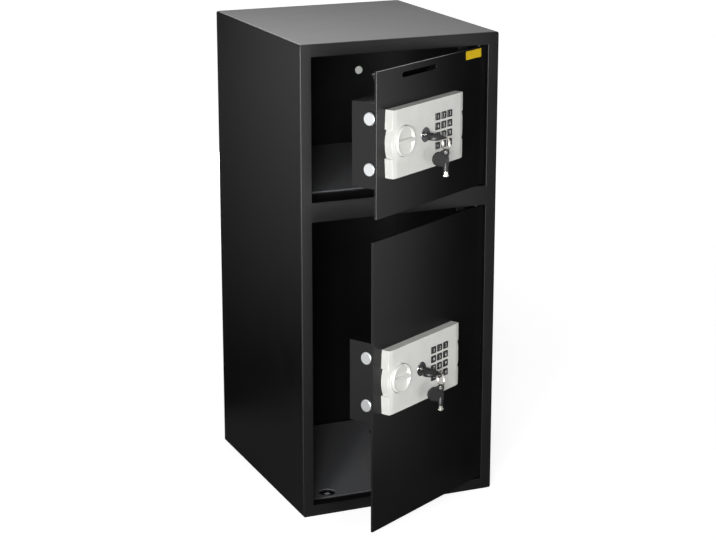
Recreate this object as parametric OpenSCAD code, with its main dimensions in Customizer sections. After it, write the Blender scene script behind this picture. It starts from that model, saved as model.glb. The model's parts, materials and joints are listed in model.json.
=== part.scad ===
// Two-door steel drop safe: a lower cash compartment and an upper deposit compartment
// with a slot in its door, each closed by its own keypad lock with two round bolts.
// Millimetres. The origin is the centre of the underside. The front faces -Y, up is +Z.

/* [Cabinet] */
// Width over the sides
cabinet_w = 350; // [330:1:450]
// Depth from the front plate to the back
cabinet_d = 400; // [320:1:550]
// Height from the floor to the top
cabinet_h = 800; // [700:1:1100]
// Thickness of the shell, back, shelf and lip sheet
sheet_t = 2; // [1.5:0.1:3]
// Thickness of the front plate
front_t = 2.5; // [2:0.1:2.9]
// Outside radius of the folded long edges
edge_r = 3.5; // [3.2:0.1:6]

/* [Openings] */
// Width of the front plate beside the openings
stile_w = 19; // [17:0.5:30]
// Height of the front plate above the upper opening
top_rail_h = 21; // [16:0.5:40]
// Height of the upper opening
upper_opening_h = 236; // [225:1:300]
// Height of the front plate between the openings
mid_rail_h = 33; // [26:1:60]
// Height of the front plate below the lower opening
bottom_rail_h = 19; // [16:0.5:40]
// Depth of the turned-in lip beside an opening
stile_lip = 10; // [6:0.5:10.5]
// Depth of the turned-in lip above and below an opening
rail_lip = 14; // [12:0.5:18]
// Height of the shelf's turned-down flanges
shelf_flange = 20; // [10:1:24]

/* [Door stops] */
// Width of a door stop tab
stop_w = 16; // [8:1:20]
// How far a door stop reaches over the door
stop_h = 8; // [5:0.5:12]
// Distance from the hinge pin to the middle of a stop
stop_inset = 30; // [24:1:36]

/* [Doors] */
// Thickness of a door plate
door_t = 4; // [3:0.1:4.5]
// Gap around a closed door
door_gap = 2; // [1.6:0.1:4]
// Angle at which the upper door stands ajar
upper_ajar = 30.8; // [0:0.1:70]
// Angle at which the lower door stands ajar
lower_ajar = 29.7; // [0:0.1:70]
// Distance from the hinge pin to the door's hinge edge
pin_inset = 12; // [10:0.5:14]
// Distance from the door's outer face back to the hinge pin
pin_depth = 6; // [5.5:0.1:6.4]
// Radius of a hinge pin
pin_r = 3; // [2:0.1:3.2]
// How far a hinge pin reaches into its knuckle
pin_reach = 16; // [10:1:24]
// Radius of the hinge knuckles welded behind the door
knuckle_r = 5.5; // [4.6:0.1:5.5]
// Height of a hinge knuckle
knuckle_h = 28; // [26:1:50]
// Thickness of the lugs that hold the hinge pins
lug_t = 4; // [3:0.5:6]
// Width of a hinge lug
lug_w = 18; // [14:1:22]

/* [Deposit slot] */
// Length of the slot in the upper door
slot_l = 95; // [80:1:120]
// Distance from the door's free edge to the slot's middle
slot_s = 116; // [100:1:150]
// Height of the slot
slot_h = 8; // [5:0.5:12]
// Distance from the door's top edge to the slot
slot_top = 10; // [7:0.5:20]
// Sheet thickness of the baffle behind the slot
baffle_t = 1.2; // [1:0.1:2]
// How far the baffle's hood stands behind the door
hood_d = 10; // [6:0.5:14]
// How far behind the door the sloping plate ends
ramp_d = 34; // [24:1:46]
// How far the sloping plate falls
ramp_drop = 32; // [20:1:36]
// How far the sloping plate reaches past each end of the slot
ramp_over = 12; // [5:1:20]

/* [Lock placing] */
// Height of the upper lock above its opening's lower edge
upper_lock_z = 121; // [95:1:125]
// Height of the lower lock above its opening's lower edge
lower_lock_z = 256; // [100:1:300]
// Distance from the door's free edge to the lock housing
panel_s = 21; // [18:1:40]
// Distance from the door's free edge to the knob's centre
knob_s = 52; // [50:0.5:56]
// Distance from the door's free edge to the key lock's centre
cylinder_s = 110; // [108:0.5:113]
// Distance from the door's free edge to the first column of buttons
keypad_s = 143.5; // [141:0.5:148]

/* [Lock housing] */
// Width of the lock housing
panel_w = 199; // [190:1:206]
// Height of the lock housing
panel_h = 108; // [96:1:120]
// Thickness of the lock housing
panel_t = 16; // [14:0.5:20]
// How far the housing's middle lies below the lock's centre
panel_drop = 2; // [0:0.5:4]
// Front wall of the lock housing over the keypad
panel_wall = 3; // [2:0.5:4]
// Radius of the housing's two front edges
panel_edge_r = 3; // [2:0.5:5]
// Width of the strips at the housing's ends over which its front slopes back
end_w = 11; // [8:0.5:13]
// How far the front slopes back at the ends
end_fall = 2; // [1:0.5:3]
// Radius to which the housing's ends bow out
panel_bow_r = 600; // [400:10:900]
// Height of the inset band at each end
band_h = 46; // [30:1:60]
// How far the inset band's middle stands back from the end
band_inset = 0.5; // [0.3:0.1:3]
// Radius to which the inset band bows out
band_r = 55; // [45:1:80]
// Width of the low bead around the knob
bead_w = 1.5; // [1:0.1:2.5]
// How far the bead stands proud of the housing's face
bead_proud = 0.5; // [0.3:0.1:1]
// Depth of the well that the knob turns in, below the housing's face
well_depth = 8.5; // [8:0.5:10]

/* [Knob] */
// Radius of the knob
knob_r = 24; // [20:0.5:25]
// How far the knob stands proud of the housing's face
knob_proud = 5; // [3:0.5:8]
// Width of the grip bar across the knob
grip_w = 6; // [5:0.5:9]
// Width of the rim around the knob's finger hollows
rim_w = 2.5; // [2:0.5:5]
// Depth of the finger hollows beside the grip bar
hollow_depth = 6; // [4:0.5:6.5]
// Radius of the spindle
spindle_r = 4; // [3:0.5:5]

/* [Keypad] */
// Distance between button columns
button_dx = 17; // [16:0.1:17.5]
// Distance between button rows
button_dz = 15.6; // [15:0.1:16.5]
// Width of a button
button_w = 12.5; // [9:0.1:12.8]
// Height of a button
button_h = 11; // [8:0.1:11.4]
// How far a button stands proud of the housing
button_proud = 1.5; // [1:0.1:3]
// Travel of a button
button_travel = 1; // [0.5:0.1:1.2]

/* [Lock case] */
// Distance from the door's free edge to the lock case
case_s = 15; // [12:0.5:18]
// Width of the lock case
case_w = 200; // [192:1:210]
// Height of the lock case
case_h = 136; // [130:1:150]
// Depth of the lock case behind the door
case_d = 54; // [50:1:60]
// Sheet thickness of the lock case
case_t = 1.5; // [1:0.1:2]
// How far the case's middle lies below the lock's centre
case_drop = 7; // [0:0.5:8]

/* [Bolts] */
// Radius of a bolt
bolt_r = 11; // [8:0.5:11.5]
// Distance between the two bolts
bolt_pitch = 80; // [76:1:84]
// How far the bolts' middle lies below the lock's centre
bolt_drop = 4; // [1:0.5:5]
// Distance from the door's outer face back to the bolts' axes
bolt_depth = 22; // [21.5:0.5:24]
// Distance from the door's free edge to the drawn bolts' ends
bolt_end_s = 10; // [8:0.5:12]
// Length of a bolt
bolt_l = 30; // [28:1:32]
// Travel of the bolts
bolt_travel = 18; // [14:0.5:18.5]
// Thickness of the bar that carries the bolts
bar_t = 3; // [2:0.5:3]
// Width of the bar that carries the bolts
bar_w = 42; // [40:1:43]

/* [Key lock] */
// Radius of the key lock's bezel
bezel_r = 12; // [10.5:0.5:13]
// How far the bezel stands proud of the housing
bezel_proud = 1.5; // [1.5:0.5:5]
// Radius of the key lock's barrel
barrel_r = 9.5; // [8.5:0.1:9.8]
// How far the barrel reaches behind the door's outer face
barrel_depth = 30; // [27:1:32]
// Radius of the turning plug
plug_r = 6.5; // [5.5:0.1:7]
// Length of the cam arm on the plug
cam_l = 20; // [14:1:24]

/* [Keys] */
// Outside radius of the tubular shank
shank_r = 3.9; // [3.4:0.1:4.1]
// Inside radius of the tubular shank
shank_bore_r = 2.8; // [2.2:0.1:3]
// Length of the shank up to the bow
shank_l = 15; // [14.5:0.5:24]
// Radius of the moulded neck around the shank beside the bow
neck_r = 4.4; // [4.2:0.05:4.45]
// Length of the neck below the bow
neck_l = 7; // [3:0.5:7.5]
// How far the two nibs at the shank's tip stand out
nib = 0.8; // [0.4:0.1:1.2]
// How far the shank goes into the plug
key_depth = 5.5; // [4:0.5:8]
// Length of the bow, from the shank to the end of its eye
bow_l = 29.5; // [27:0.5:36]
// Width of the bow on the side away from the shank
bow_w = 23; // [20:0.5:25]
// Thickness of the bow
bow_t = 5.5; // [4:0.5:6]
// Thickness of the eye
eye_t = 2.4; // [2:0.1:2.6]
// Radius of the eye
eye_r = 6; // [5.6:0.1:6.2]
// Radius of the hole in the eye
eye_hole_r = 3.25; // [3.2:0.05:3.4]
// Radius of the key ring to the middle of its wire
ring_r = 12; // [11.8:0.1:12.4]
// Radius of the key ring's wire
wire_r = 0.8; // [0.6:0.05:0.85]
// How far the ring hangs turned from the key's own line
ring_turn = 30; // [0:1:45]

/* [Anchoring] */
// Radius of the anchor holes in the base and the back wall
anchor_r = 5.5; // [4:0.1:7]
// Distance between the floor anchors across the safe
floor_dx = 200; // [120:1:260]
// Distance from the cabinet's front and back to the floor anchors
floor_inset = 80; // [76:1:120]
// Distance between the wall anchors across the safe
wall_dx = 190; // [120:1:260]
// Height of the wall anchors above the upper opening's lower edge
wall_z = 134; // [60:1:200]
// Radius of the plug heads in the wall anchors
plug_head_r = 7.5; // [7.4:0.1:10]
// Thickness of the plug heads
plug_head_t = 2; // [1:0.1:4]

/* [Floor mats] */
// Thickness of a mat
mat_t = 2.5; // [1:0.1:5]
// Distance from the front plate to a mat
mat_front = 60; // [20:1:100]
// Gap between a mat and the walls
mat_gap = 4; // [1:0.5:12]
// Radius of the cut-outs around the floor anchors
mat_hole_r = 15; // [12:0.5:20]

/* [Fits] */
// Clearance around pieces that move
clear = 0.3; // [0.2:0.05:0.35]
// Radial clearance of pins, plugs and shafts that turn
run = 0.05; // [0.02:0.01:0.1]

/* [Hidden] */
$fn = 64;
UPPER = 0;
LOWER = 1;
DOORS = [UPPER, LOWER];
DOOR_NAMES = ["upper", "lower"];
BUTTONS = ["1", "2", "3", "4", "5", "6", "7", "8", "9", "star", "0", "hash"];
COLUMNS = 3;
ROWS = 4;

// Openings, doors and hinge axis
front_y = -cabinet_d / 2;
back_y = cabinet_d / 2;
opening_w = cabinet_w - 2 * stile_w;
lower_opening_h = cabinet_h - top_rail_h - upper_opening_h - mid_rail_h - bottom_rail_h;
opening_h = [upper_opening_h, lower_opening_h];
opening_z = [bottom_rail_h + lower_opening_h + mid_rail_h, bottom_rail_h];
ajar = [upper_ajar, lower_ajar];
door_w = opening_w - 2 * door_gap;
pin_x = opening_w / 2 - door_gap - pin_inset;
pin_y = front_y + pin_depth;
shelf_top = opening_z[UPPER];
stop_x = pin_x - stop_inset;
// Lock heights, and places measured from them
lock_z = [opening_z[UPPER] + upper_lock_z, opening_z[LOWER] + lower_lock_z];
case_z = -case_drop;
bolt_z = -bolt_drop;
panel_z = -panel_drop;
// Depths behind the door's outer face
case_back = door_t + case_d;
arm_gap = 4;
arm_t = 3;
arm_w = 6;
arm_depth = [door_t + arm_gap, door_t + arm_gap + arm_t];
bar_gap = 2;
bar_depth = [arm_depth[1] + bar_gap, arm_depth[1] + bar_gap + bar_t];
bar_s = [bolt_end_s + bolt_l - 4, bolt_end_s + bolt_l - 4 + bar_w];
bar_end = 12;
// Drive pin: it turns a quarter, half of it on each side of upright, while the bolts travel
crank_r = bolt_travel / 2 / sin(45);
drive_pin_r = 2.5;
drive_play = 0.7;
// Blocking tooth on the bar, and the plunger that rises beside it
plunger_r = 3.5;
plunger_travel = 6;
plunger_gap = 15;
plunger_s = bar_s[1] + plunger_gap;
tooth_side = 1;
tooth_w = bolt_travel - 2 * plunger_r - 2 * tooth_side;
tooth_s = plunger_s + plunger_r + tooth_side;
tooth_top = -16;
tooth_arm_h = 6;
tooth_h = plunger_travel + 1;
tooth_bottom = tooth_top - tooth_arm_h - tooth_h;
coil_w = 24;
coil_h = 26;
coil_floor = 3;
coil_top = tooth_bottom - 5;
coil_d = 22;
coil_depth = [door_t, door_t + coil_d];
// Front of the housing, the knob well and the keypad chamber
panel_top = -panel_t;
well_floor = panel_top + well_depth;
well_gap = 1;
chamber_margin = 3;
button_flange = 1.25;
chamber_s = [keypad_s - button_w / 2 - button_flange - chamber_margin,
    keypad_s + 2 * button_dx + button_w / 2 + button_flange + chamber_margin];
chamber_z = 1.5 * button_dz + button_h / 2 + button_flange + chamber_margin;
board_t = 1.6;
board_stand = 3;
dome_t = 0.6;
// Key lock and keys
nut_r = 13;
nut_t = 5;
cam_t = 2;
plug_face = panel_top - bezel_proud + 0.5;
plug_end = barrel_depth + clear;
key_tip = panel_top - bezel_proud + key_depth;
groove_r = [shank_bore_r - clear, shank_r + clear];
groove_end = key_tip + clear;
nib_reach = shank_r + nib + clear;
eye_z = shank_l + bow_l - eye_r;
nib_w = 2;
nib_l = 2.5;
// The ring hangs in the eye, resting on it just outside the hole
ring_out = ring_r - 4;
ring_fall = sqrt(pow(ring_r - wire_r - 0.3, 2) - pow(ring_out - eye_hole_r, 2)) - eye_t / 2;
wire_twin = 0.6;
spare_drop = 2;
// The battery holder stands against the back of the case, measured from its far side
holder_l = 62;
holder_gap = 10;
holder_end = case_s + case_w - case_t - holder_gap;
batteries_s = [holder_end - holder_l, holder_end];
battery_r = 7;

// Local place on a door: s from the free edge, d behind the outer face
function along(s) = s - door_w + pin_inset;
function deep(d) = d - pin_depth;

// Stands children, drawn about the hinge axis of a closed door, on door i as it is ajar
module on_door(i) {
    translate([pin_x, pin_y, 0]) rotate([0, 0, ajar[i]]) children();
}

// The same, with heights from the lock's centre
module on_lock(i) {
    on_door(i) translate([0, 0, lock_z[i]]) children();
}

// Box between two distances along, behind and up
module block(s, d, z) {
    translate([along(s[0]), deep(d[0]), z[0]]) cube([s[1] - s[0], d[1] - d[0], z[1] - z[0]]);
}

// Round bar square to the door, from depth d[0] back to d[1]
module stud(s, d, z, r, r_front = -1) {
    translate([along(s), deep(d[1]), z]) rotate([90, 0, 0])
        cylinder(r1 = r, r2 = r_front < 0 ? r : r_front, h = d[1] - d[0]);
}

// Flat rectangle with true round corners, about its centre
module rounded(w, h, r) {
    square([w - 2 * r, h], center = true);
    square([w, h - 2 * r], center = true);
    for (x = [-1, 1]) for (z = [-1, 1])
        translate([x * (w / 2 - r), z * (h / 2 - r)]) circle(r);
}

// Prism of a flat front view, from y to y + depth, standing on the floor
module front_view(y, depth) {
    translate([0, y + depth, cabinet_h / 2]) rotate([90, 0, 0]) linear_extrude(depth) children();
}

// Anchor hole places in the back, drawn towards the front
module wall_places() {
    for (x = [-1, 1]) translate([x * wall_dx / 2, back_y, opening_z[UPPER] + wall_z])
        rotate([90, 0, 0]) children();
}

module floor_places() {
    for (x = [-1, 1]) for (y = [-1, 1])
        translate([x * floor_dx / 2, y * (cabinet_d / 2 - floor_inset), 0]) children();
}

// Top, sides and base, one folded sheet
module cabinet_shell() {
    color("#232324") difference() {
        front_view(front_y + front_t, cabinet_d - front_t) difference() {
            rounded(cabinet_w, cabinet_h, edge_r);
            rounded(cabinet_w - 2 * sheet_t, cabinet_h - 2 * sheet_t, edge_r - sheet_t);
        }
        translate([0, 0, -1]) floor_places() cylinder(r = anchor_r, h = sheet_t + 2);
    }
}

module back_panel() {
    color("#1b1b1c") difference() {
        front_view(back_y - sheet_t, sheet_t)
            rounded(cabinet_w - 2 * sheet_t, cabinet_h - 2 * sheet_t, edge_r - sheet_t);
        wall_places() translate([0, 0, -1]) cylinder(r = anchor_r, h = sheet_t + 2);
    }
}

// Lips turned in around opening i: deep ones above and below, shallow ones beside it
module lips(i) {
    z0 = opening_z[i];
    z1 = z0 + opening_h[i];
    x = opening_w / 2;
    for (z = [z0 - sheet_t, z1])
        translate([-x - sheet_t, front_y, z]) cube([opening_w + 2 * sheet_t, rail_lip, sheet_t]);
    for (side = [-x - sheet_t, x])
        translate([side, front_y, z0]) cube([sheet_t, stile_lip, opening_h[i]]);
}

// Lug outside a lip that holds a hinge pin, below the opening or above it
module hinge_lug(i, above) {
    z = above ? opening_z[i] + opening_h[i] + sheet_t : opening_z[i] - sheet_t - lug_t;
    translate([pin_x - lug_w / 2, front_y + front_t, z]) cube([lug_w, rail_lip - front_t, lug_t]);
}

// Tab that the closed door comes to rest on
module door_stop(i, above) {
    z = above ? opening_z[i] + opening_h[i] - stop_h : opening_z[i];
    y = front_y + door_t + clear;
    translate([stop_x - stop_w / 2, y, z]) cube([stop_w, sheet_t, stop_h]);
}

module front_frame() {
    color("#2b2b2c") difference() {
        union() {
            front_view(front_y, front_t) difference() {
                rounded(cabinet_w, cabinet_h, edge_r);
                for (i = DOORS) translate([0, opening_z[i] + (opening_h[i] - cabinet_h) / 2])
                    square([opening_w, opening_h[i]], center = true);
            }
            for (i = DOORS) {
                lips(i);
                for (above = [false, true]) {
                    hinge_lug(i, above);
                    door_stop(i, above);
                }
            }
        }
        for (i = DOORS) for (above = [false, true]) pin_at(i, above, run);
    }
}

// One hinge pin, from its lug into the knuckle, or with play the hole for it
module pin_at(i, above, play = 0) {
    h = lug_t + sheet_t + door_gap + pin_reach;
    z = above ? opening_z[i] + opening_h[i] + sheet_t + lug_t - h : opening_z[i] - sheet_t - lug_t;
    translate([pin_x, pin_y, z - play]) cylinder(r = pin_r + play, h = h + 2 * play);
}

module hinge_pins() {
    color("#b9babb") for (i = DOORS) for (above = [false, true]) pin_at(i, above);
}

// Floor of the upper compartment, a sheet with its four edges turned down
module divider_shelf() {
    w = cabinet_w - 2 * sheet_t;
    y0 = front_y + rail_lip;
    d = back_y - sheet_t - y0;
    color("#1d1d1e") difference() {
        translate([-w / 2, y0, shelf_top - shelf_flange]) cube([w, d, shelf_flange]);
        translate([sheet_t - w / 2, y0 + sheet_t, shelf_top - shelf_flange - 1])
            cube([w - 2 * sheet_t, d - 2 * sheet_t, shelf_flange - sheet_t + 1]);
    }
}

// Loose mats on the base and the shelf; the lower one is cut out around the anchors
module floor_mats() {
    w = cabinet_w - 2 * sheet_t - 2 * mat_gap;
    d = cabinet_d - mat_front - sheet_t - mat_gap;
    color("#37383a") {
        translate([-w / 2, front_y + mat_front, shelf_top]) cube([w, d, mat_t]);
        difference() {
            translate([-w / 2, front_y + mat_front, sheet_t]) cube([w, d, mat_t]);
            floor_places() cylinder(r = mat_hole_r, h = sheet_t + mat_t + 1);
        }
    }
}

// White plugs pressed into the wall anchor holes from inside
module hole_plugs() {
    color("#e6e6e2") wall_places() {
        cylinder(r = anchor_r - clear, h = sheet_t);
        translate([0, 0, sheet_t]) cylinder(r1 = plug_head_r, r2 = plug_head_r - 1, h = plug_head_t);
    }
}

// Steel door plate with its two hinge knuckles
module door(i) {
    z0 = opening_z[i] + door_gap;
    h = opening_h[i] - 2 * door_gap;
    color("#262627") on_door(i) difference() {
        union() {
            block([0, door_w], [0, door_t], [z0, z0 + h]);
            for (z = [z0, z0 + h - knuckle_h]) translate([0, 0, z]) cylinder(r = knuckle_r, h = knuckle_h);
        }
        for (z = [z0 - 1, z0 + h - pin_reach - clear])
            translate([0, 0, z]) cylinder(r = pin_r + run, h = pin_reach + clear + 1);
        stud(knob_s, [-1, door_t + 1], lock_z[i], spindle_r + run);
        stud(cylinder_s, [-1, door_t + 1], lock_z[i], barrel_r + clear);
        if (i == UPPER) deposit_slot(z0 + h - slot_top - slot_h);
    }
}

// Round-ended slot
module deposit_slot(z) {
    r = slot_h / 2;
    ends = [slot_s - slot_l / 2 + r, slot_s + slot_l / 2 - r];
    block(ends, [-1, door_t + 1], [z, z + slot_h]);
    for (s = ends) stud(s, [-1, door_t + 1], z + r, r);
}

// Folded baffle behind the slot: a hood against the door, end gussets and a sloping plate
// that lets an envelope fall but turns a hand or a hook away
module slot_baffle() {
    top = opening_z[UPPER] + opening_h[UPPER] - door_gap - slot_top / 2;
    low = top - slot_top / 2 - slot_h - 5;
    left = 6;
    right = stop_x - stop_w / 2 - 3 - along(0) - pin_x;
    ramp_s = [slot_s - slot_l / 2 - ramp_over, slot_s + slot_l / 2 + ramp_over];
    color("#303031") on_door(UPPER) {
        block([left, right], [door_t, door_t + hood_d], [top - baffle_t, top]);
        for (s = [left, right - baffle_t])
            fin(s, baffle_t, [[door_t, top], [door_t + hood_d, top], [door_t, low]]);
        fin(ramp_s[0], ramp_s[1] - ramp_s[0], [
            [door_t + hood_d - baffle_t, top],
            [door_t + hood_d, top],
            [door_t + ramp_d, top - ramp_drop],
            [door_t + ramp_d - baffle_t, top - ramp_drop]]);
    }
}

// Flat profile of depths and heights, run along the door from s over a length
module fin(s, length, profile) {
    translate([along(s), 0, 0]) rotate([90, 0, 90]) linear_extrude(length)
        polygon([for (p = profile) [deep(p[0]), p[1]]]);
}

// Steel cover over the bolt work, open to the door, with a hole for each bolt
module lock_case(i) {
    color("#202021") on_lock(i) difference() {
        block([case_s, case_s + case_w], [door_t, case_back], [case_z - case_h / 2, case_z + case_h / 2]);
        block([case_s + case_t, case_s + case_w - case_t], [door_t - 1, case_back - case_t],
            [case_z + case_t - case_h / 2, case_z + case_h / 2 - case_t]);
        for (z = [-1, 1]) bolt_bar([case_s - 1, case_s + case_t + 1], z, bolt_r + clear);
    }
}

// Round bar along a bolt's axis, the upper one for side 1
module bolt_bar(s, side, r, r_end = -1) {
    translate([along(s[0]), deep(bolt_depth), bolt_z + side * bolt_pitch / 2]) rotate([0, 90, 0])
        cylinder(r1 = r_end < 0 ? r : r_end, r2 = r, h = s[1] - s[0]);
}

// Both bolts on their bar. The bar's slot takes the drive pin, and its tooth meets the plunger
module bolt_carriage(i) {
    chamfer = 1.5;
    reach = bolt_pitch / 2 + bar_end;
    slot_low = crank_r * cos(45) - drive_pin_r - drive_play;
    slot_high = crank_r + drive_pin_r + drive_play;
    slot_mid = knob_s + bolt_travel / 2;
    slot_half = drive_pin_r + drive_play;
    color("#c9cacb") on_lock(i) {
        for (side = [-1, 1]) {
            bolt_bar([bolt_end_s, bolt_end_s + chamfer], side, bolt_r, bolt_r - chamfer);
            bolt_bar([bolt_end_s + chamfer, bolt_end_s + bolt_l], side, bolt_r);
        }
        difference() {
            block(bar_s, bar_depth, [bolt_z - reach, bolt_z + reach]);
            block([slot_mid - slot_half, slot_mid + slot_half], [bar_depth[0] - 1, bar_depth[1] + 1],
                [slot_low, slot_high]);
        }
        block([bar_s[1], tooth_s + tooth_w], bar_depth, [tooth_top - tooth_arm_h, tooth_top]);
        block([tooth_s, tooth_s + tooth_w], bar_depth, [tooth_bottom, tooth_top - tooth_arm_h]);
    }
}

// Both ends of the lock housing in front view, about its centre, with no top or bottom
module housing_outline() {
    bow_x = panel_w / 2 - panel_bow_r;
    band_x = panel_w / 2 - band_inset - band_r;
    difference() {
        between_bows(bow_x);
        difference() {
            square([panel_w + 2, band_h], center = true);
            square([2 * band_x, band_h + 2], center = true);
            for (x = [-band_x, band_x]) translate([x, 0]) circle(band_r, $fn = 180);
        }
    }
}

// Area inside both bowed ends
module between_bows(x) {
    intersection() {
        translate([x, 0]) circle(panel_bow_r, $fn = 360);
        translate([-x, 0]) circle(panel_bow_r, $fn = 360);
    }
}

// Plan of the housing: its back lies on the door, and its front slopes back at both ends
// to a rounded corner
module housing_plan() {
    r = panel_edge_r;
    half = panel_w / 2;
    fall = atan(end_fall / end_w);
    corner_y = end_fall * (end_w - r) / end_w + r / cos(fall) - panel_t;
    touch_x = half - r + r * sin(fall);
    touch_y = corner_y - r * cos(fall);
    polygon([[-half, 0], [half, 0], [half, corner_y], [touch_x, touch_y], [half - end_w, -panel_t],
        [end_w - half, -panel_t], [-touch_x, touch_y], [-half, corner_y]]);
    for (side = [-1, 1]) translate([side * (half - r), corner_y]) circle(r);
}

// Moulded housing on the door's face, with the bead and well of the knob, the keypad chamber
// and its button holes, and the hole for the key lock
module lock_housing(i) {
    mid = along(panel_s + panel_w / 2);
    color("#d3d3cf") on_lock(i) difference() {
        intersection() {
            translate([mid, deep(0), panel_z]) rotate([90, 0, 0])
                linear_extrude(panel_t + bead_proud) housing_outline();
            union() {
                translate([mid, deep(0), panel_z - panel_h / 2])
                    linear_extrude(panel_h) housing_plan();
                stud(knob_s, [panel_top - bead_proud, panel_top + end_fall + 1], 0,
                    knob_r + well_gap + bead_w);
            }
        }
        stud(knob_s, [panel_top - bead_proud - 1, well_floor], 0, knob_r + well_gap);
        stud(knob_s, [well_floor - 1, 1], 0, spindle_r + clear);
        stud(cylinder_s, [panel_top - 1, 1], 0, barrel_r + clear);
        block(chamber_s, [panel_top + panel_wall, 1], [-chamber_z, chamber_z]);
        for (k = [0 : COLUMNS * ROWS - 1])
            at_button(k, [panel_top - 1, panel_top + panel_wall + 1],
                button_w + 2 * clear, button_h + 2 * clear);
    }
}

// Box at button k's place, between two depths
module at_button(k, d, w, h) {
    s = keypad_s + (k % COLUMNS) * button_dx;
    z = ((ROWS - 1) / 2 - floor(k / COLUMNS)) * button_dz;
    block([s - w / 2, s + w / 2], d, [z - h / 2, z + h / 2]);
}

// Button cap, its flange behind the housing's wall and its stem over the board
module keypad_button(i, k) {
    wall_back = panel_top + panel_wall;
    flange_t = 1.3;
    stem = 4;
    stem_end = -board_stand - board_t - dome_t - button_travel - clear;
    color("#141415") on_lock(i) {
        at_button(k, [panel_top - button_proud, wall_back + clear], button_w, button_h);
        at_button(k, [wall_back + clear, wall_back + clear + flange_t],
            button_w + 2 * button_flange, button_h + 2 * button_flange);
        at_button(k, [wall_back + clear + flange_t, stem_end], stem, stem);
    }
}

// Round knob with a grip bar between two finger hollows, which are deepest beside the bar
module knob(i) {
    top = panel_top - knob_proud;
    hollow_lip = 1;
    color("#dadad6") on_lock(i) difference() {
        union() {
            stud(knob_s, [top + 1, well_floor - clear], 0, knob_r);
            stud(knob_s, [top, top + 1], 0, knob_r, knob_r - 1);
        }
        for (side = [-1, 1]) intersection() {
            stud(knob_s, [top - 1, top + hollow_depth + 1], 0, knob_r - rim_w);
            fin(knob_s - knob_r, 2 * knob_r, [
                [top - 2, side * grip_w / 2],
                [top + hollow_depth, side * grip_w / 2],
                [top + hollow_lip, side * knob_r],
                [top - 2, side * knob_r]]);
        }
    }
}

// Spindle behind the knob, its crank arm and the pin that drives the bolts
module spindle_cam(i) {
    hub_r = spindle_r + 2.5;
    color("#a9aaab") on_lock(i) {
        stud(knob_s, [well_floor - clear, arm_depth[1]], 0, spindle_r);
        stud(knob_s, arm_depth, 0, hub_r);
        translate([along(knob_s), 0, 0]) rotate([0, 45, 0]) translate([-along(knob_s), 0, 0]) {
            block([knob_s - arm_w / 2, knob_s + arm_w / 2], arm_depth, [0, crank_r]);
            stud(knob_s, arm_depth, crank_r, spindle_r);
            stud(knob_s, [arm_depth[1], bar_depth[1] + 2], crank_r, drive_pin_r);
        }
    }
}

// Body of the tubular key lock: bezel, barrel and the nut behind the door
module key_lock(i) {
    bezel_front = panel_top - bezel_proud;
    color("#b4b5b6") on_lock(i) difference() {
        union() {
            stud(cylinder_s, [bezel_front + 1, panel_top], 0, bezel_r);
            stud(cylinder_s, [bezel_front, bezel_front + 1], 0, bezel_r, bezel_r - 1);
            stud(cylinder_s, [panel_top, barrel_depth], 0, barrel_r);
            translate([along(cylinder_s), deep(door_t + nut_t), 0]) rotate([90, 0, 0])
                cylinder(r = nut_r, h = nut_t, $fn = 6);
        }
        stud(cylinder_s, [bezel_front - 1, barrel_depth + 1], 0, plug_r + run);
    }
}

// Turning plug with the round groove and slots that take the key, and the cam on its end
module key_plug(i) {
    color("#8f9091") on_lock(i) {
        difference() {
            stud(cylinder_s, [plug_face, plug_end], 0, plug_r);
            difference() {
                union() {
                    stud(cylinder_s, [plug_face - 1, groove_end], 0, groove_r[1]);
                    block([cylinder_s - nib_reach, cylinder_s + nib_reach], [plug_face - 1, groove_end],
                        [-nib_w / 2 - clear, nib_w / 2 + clear]);
                }
                stud(cylinder_s, [plug_face - 2, groove_end + 1], 0, groove_r[0]);
            }
        }
        stud(cylinder_s, [plug_end, plug_end + cam_t], 0, barrel_r);
        block([cylinder_s - 4, cylinder_s + 4], [plug_end, plug_end + cam_t], [0, cam_l]);
    }
}

// A tubular key, tip down at the origin, its bow flat to X and leaning to -X
module key_shape() {
    right_r = 4.5;
    left_r = bow_w / 2;
    thick_top = eye_z - eye_hole_r - 2 - right_r;
    left_z = shank_l + left_r + 2.5;
    neck_end = 6;
    difference() {
        union() {
            cylinder(r = shank_r, h = shank_l);
            translate([0, 0, shank_l - neck_l]) cylinder(r = neck_r, h = neck_l + 2);
            translate([0, 0, shank_l + 2])
                cylinder(r1 = neck_r, r2 = bow_t / 2 - clear, h = neck_end);
            translate([-shank_r - nib, -nib_w / 2, 0]) cube([2 * (shank_r + nib), nib_w, nib_l]);
        }
        translate([0, 0, -1]) cylinder(r = shank_bore_r, h = shank_l - 2);
    }
    difference() {
        union() {
            slab(bow_t) hull() {
                translate([-left_r, left_z]) circle(left_r, $fn = 32);
                translate([0, shank_l + right_r]) circle(right_r, $fn = 32);
                translate([0, thick_top]) circle(right_r, $fn = 32);
            }
            slab(eye_t) hull() {
                translate([-left_r, left_z]) circle(left_r - 1, $fn = 32);
                translate([0, thick_top]) circle(right_r - 1, $fn = 32);
                translate([0, eye_z]) circle(eye_r, $fn = 32);
            }
        }
        translate([0, 0, eye_z]) rotate([90, 0, 0])
            cylinder(r = eye_hole_r, h = bow_t + 2, center = true);
    }
}

// Flat XZ outline given thickness t about Y = 0
module slab(t) {
    translate([0, t / 2, 0]) rotate([90, 0, 0]) linear_extrude(t) children();
}

// The key in its lock, bow lying flat
module key(i) {
    color("#111112") on_lock(i) translate([along(cylinder_s), deep(key_tip), 0])
        rotate([90, 0, 0]) key_shape();
}

// Frame at the middle of the key ring, its X along the ring's axis
module at_ring(i) {
    on_lock(i) translate([along(cylinder_s), deep(key_tip - eye_z), 0]) rotate([0, 0, -ring_turn])
        translate([0, -ring_out, -ring_fall]) children();
}

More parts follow.
